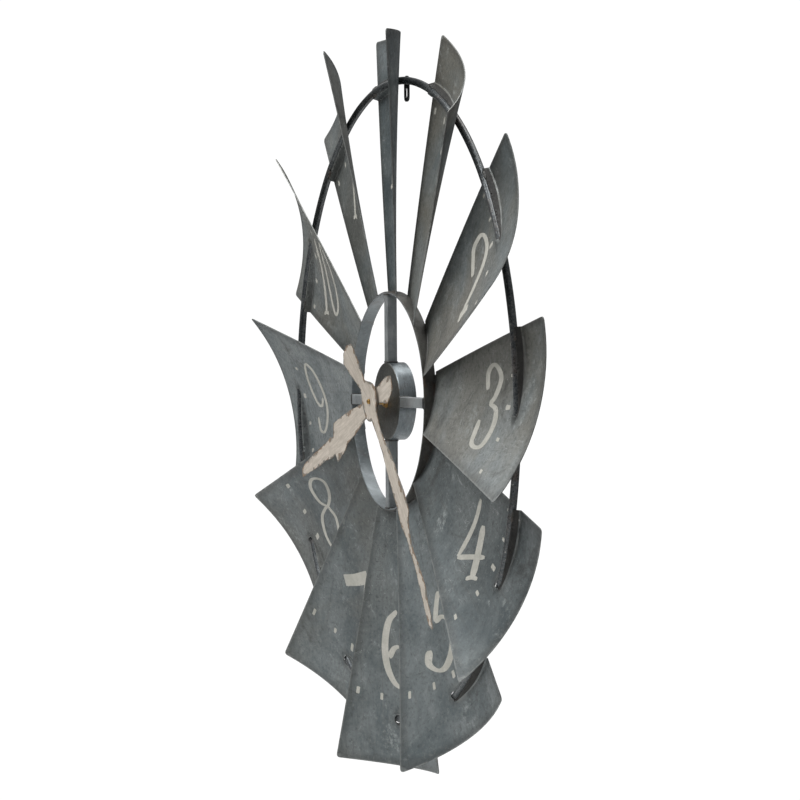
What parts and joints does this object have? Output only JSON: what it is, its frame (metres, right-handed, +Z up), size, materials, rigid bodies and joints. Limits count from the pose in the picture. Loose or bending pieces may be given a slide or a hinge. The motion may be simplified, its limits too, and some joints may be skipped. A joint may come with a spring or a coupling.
{
  "type": "windmill wall clock",
  "caption": "Round wall clock shaped like a farm windmill: curved metal blades with numerals on two hoops, spokes, a hub cup that holds a quartz movement, and painted hands.",
  "frame": {"origin": "on the hands' axis, at the back face of the movement", "axes": "+Z up to 12 o'clock, -Y towards the reader, +Y into the wall, +X to 3 o'clock"},
  "size_m": [0.9048, 0.0666, 0.9048],
  "materials": {
    "galvanised_steel": "mottled weathered zinc",
    "rod_steel": "dark aged steel",
    "cream_paint": "chalky cream paint, worn to brown at the edges",
    "black_paint": "satin black",
    "brass": "turned, slightly dull",
    "copper_wire": "enamelled winding",
    "bright_steel": "bare, bright",
    "cell_jacket": "plain satin jacket",
    "black_plastic": "moulded, fine texture",
    "white_plastic": "moulded acetal",
    "rubber": "matt",
    "circuit_board": "solder mask"
  },
  "bodies": {
    "clock": {"blade_01": "galvanised_steel", "blade_02": "galvanised_steel", "blade_03": "galvanised_steel", "blade_04": "galvanised_steel", "blade_05": "galvanised_steel", "blade_06": "galvanised_steel", "blade_07": "galvanised_steel", "blade_08": "galvanised_steel", "blade_09": "galvanised_steel", "blade_10": "galvanised_steel", "blade_11": "galvanised_steel", "blade_12": "galvanised_steel", "inner_band": "galvanised_steel", "outer_ring": "rod_steel", "spoke_12": "galvanised_steel", "spoke_03": "galvanised_steel", "spoke_06": "galvanised_steel", "spoke_09": "galvanised_steel", "hub_cup": "galvanised_steel", "hanger_plate": "black_paint", "hanger_block": "black_paint", "movement_case": "black_plastic", "movement_back_cover": "black_plastic", "threaded_stem": "brass", "rubber_washer": "rubber", "brass_washer": "brass", "hex_nut": "brass", "battery": "cell_jacket", "contact_plus": "bright_steel", "contact_minus": "bright_steel", "stator": "bright_steel", "coil_core": "bright_steel", "coil": "copper_wire", "circuit_board": "circuit_board", "quartz_crystal": "bright_steel"},
    "minute": {"minute_arbor": "brass", "minute_hand": "cream_paint", "minute_nut": "brass"},
    "hour": {"hour_wheel": "white_plastic", "hour_hand": "cream_paint"},
    "setting": {"motion_wheel": "white_plastic", "setting_knob": "black_plastic"},
    "centre": {"centre_wheel": "white_plastic"},
    "third": {"third_wheel": "white_plastic"},
    "fourth": {"fourth_wheel": "white_plastic"},
    "fifth": {"fifth_wheel": "white_plastic"},
    "stepper": {"rotor": "bright_steel"}
  },
  "joints": [
    {"name": "minute_turn", "type": "hinge", "parent": "clock", "child": "minute", "pos_m": [0, 0, 0], "axis": [0, 1, 0], "continuous": true},
    {"name": "hour_turn", "type": "hinge", "parent": "clock", "child": "hour", "pos_m": [0, 0, 0], "axis": [0, 1, 0], "continuous": true},
    {"name": "setting_turn", "type": "hinge", "parent": "clock", "child": "setting", "pos_m": [0.012, 0, 0], "axis": [0, 1, 0], "continuous": true},
    {"name": "rotor_turn", "type": "hinge", "parent": "clock", "child": "stepper", "pos_m": [0.01269, 0, 0.01119], "axis": [0, 1, 0], "continuous": true},
    {"name": "fifth_turn", "type": "hinge", "parent": "clock", "child": "fifth", "pos_m": [0.0048, 0, 0.00831], "axis": [0, 1, 0], "continuous": true},
    {"name": "fourth_turn", "type": "hinge", "parent": "clock", "child": "fourth", "pos_m": [0, 0, 0], "axis": [0, 1, 0], "continuous": true},
    {"name": "third_turn", "type": "hinge", "parent": "clock", "child": "third", "pos_m": [-0.01081, 0, 0.00393], "axis": [0, 1, 0], "continuous": true},
    {"name": "centre_turn", "type": "hinge", "parent": "clock", "child": "centre", "pos_m": [0, 0, 0], "axis": [0, 1, 0], "continuous": true}
  ],
  "couplings": [
    {"joint": "hour_turn", "follows": "minute_turn", "ratio": 0.083333},
    {"joint": "setting_turn", "follows": "minute_turn", "ratio": -0.33333},
    {"joint": "fifth_turn", "follows": "rotor_turn", "ratio": -0.16667},
    {"joint": "fourth_turn", "follows": "rotor_turn", "ratio": 0.033333},
    {"joint": "third_turn", "follows": "rotor_turn", "ratio": -0.0044444},
    {"joint": "centre_turn", "follows": "rotor_turn", "ratio": 0.00055556}
  ]
}
